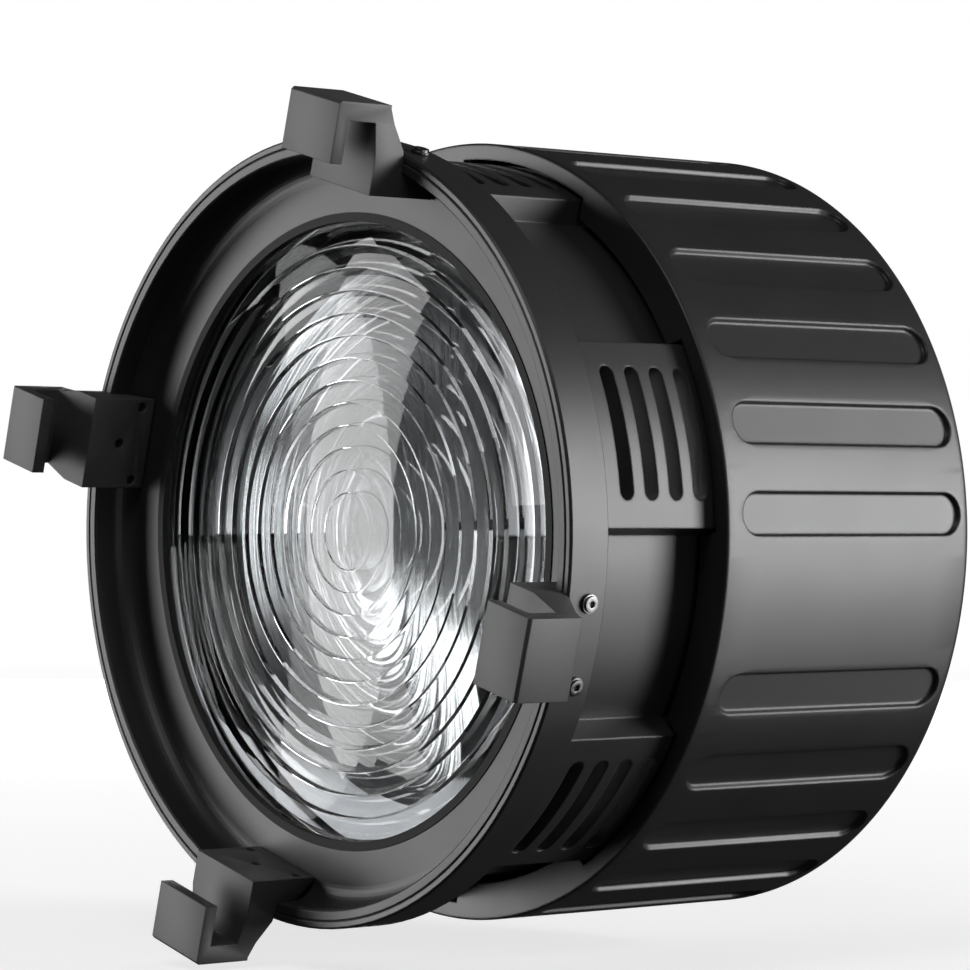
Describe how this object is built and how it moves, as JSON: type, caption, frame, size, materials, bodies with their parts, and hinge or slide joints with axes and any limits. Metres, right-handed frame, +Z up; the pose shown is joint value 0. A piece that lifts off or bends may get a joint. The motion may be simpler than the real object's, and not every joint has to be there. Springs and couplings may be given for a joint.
{
  "type": "fresnel lens attachment",
  "caption": "Focusing Fresnel lens attachment for a studio lamp: vented barrel with accessory brackets in a ribbed grip sleeve, bayonet mount at the rear.",
  "frame": {"origin": "centre of the rear mount seat, on the optical axis", "axes": "+Y along the optical axis, out of the rear mount towards the lamp; light leaves towards -Y; +Z is up"},
  "size_m": [0.2478, 0.1894, 0.2478],
  "materials": {
    "housing_black": "satin",
    "cam_grey": "satin",
    "screw_black": "satin",
    "bright_reflector": "polished",
    "screw_zinc": "satin",
    "mount_satin": "satin",
    "sleeve_grey": "satin",
    "barrel_black": "satin",
    "rim_grey": "satin",
    "gasket_black": "matt",
    "lens_glass": "clear",
    "bracket_grey": "satin",
    "roller_brass": "satin"
  },
  "bodies": {
    "housing": {"bearing_drum": "housing_black", "cam_tube": "cam_grey", "cam_tube_screws": "screw_black", "light_cone": "bright_reflector", "light_cone_screws": "screw_zinc", "rear_cover": "housing_black", "rear_cover_screws": "screw_black", "mount_ring": "mount_satin", "mount_ring_screws": "screw_zinc"},
    "focus_ring": {"grip_sleeve": "sleeve_grey", "trap_ring": "cam_grey"},
    "lens_barrel": {"vented_barrel": "barrel_black", "front_rim": "rim_grey", "front_cup": "rim_grey", "lens_gasket": "gasket_black", "fresnel_lens": "lens_glass", "lens_retainer": "cam_grey", "lens_clamp_screws": "screw_zinc", "bracket_right": "bracket_grey", "bracket_top": "bracket_grey", "bracket_left": "bracket_grey", "bracket_bottom": "bracket_grey", "bracket_screws": "screw_black", "cam_rollers": "roller_brass", "roller_screws": "screw_zinc"}
  },
  "joints": [
    {"name": "focus_turn", "type": "hinge", "parent": "housing", "child": "focus_ring", "pos_m": [0, 0, 0], "axis": [0, 1, 0], "range_deg": [-23.53, 96.47]},
    {"name": "barrel_slide", "type": "slide", "parent": "focus_ring", "child": "lens_barrel", "axis": [0, 1, 0], "range_m": [-0.01, 0.041]}
  ],
  "couplings": [
    {"joint": "barrel_slide", "follows": "focus_turn", "m_per_rad": 0.024351}
  ]
}
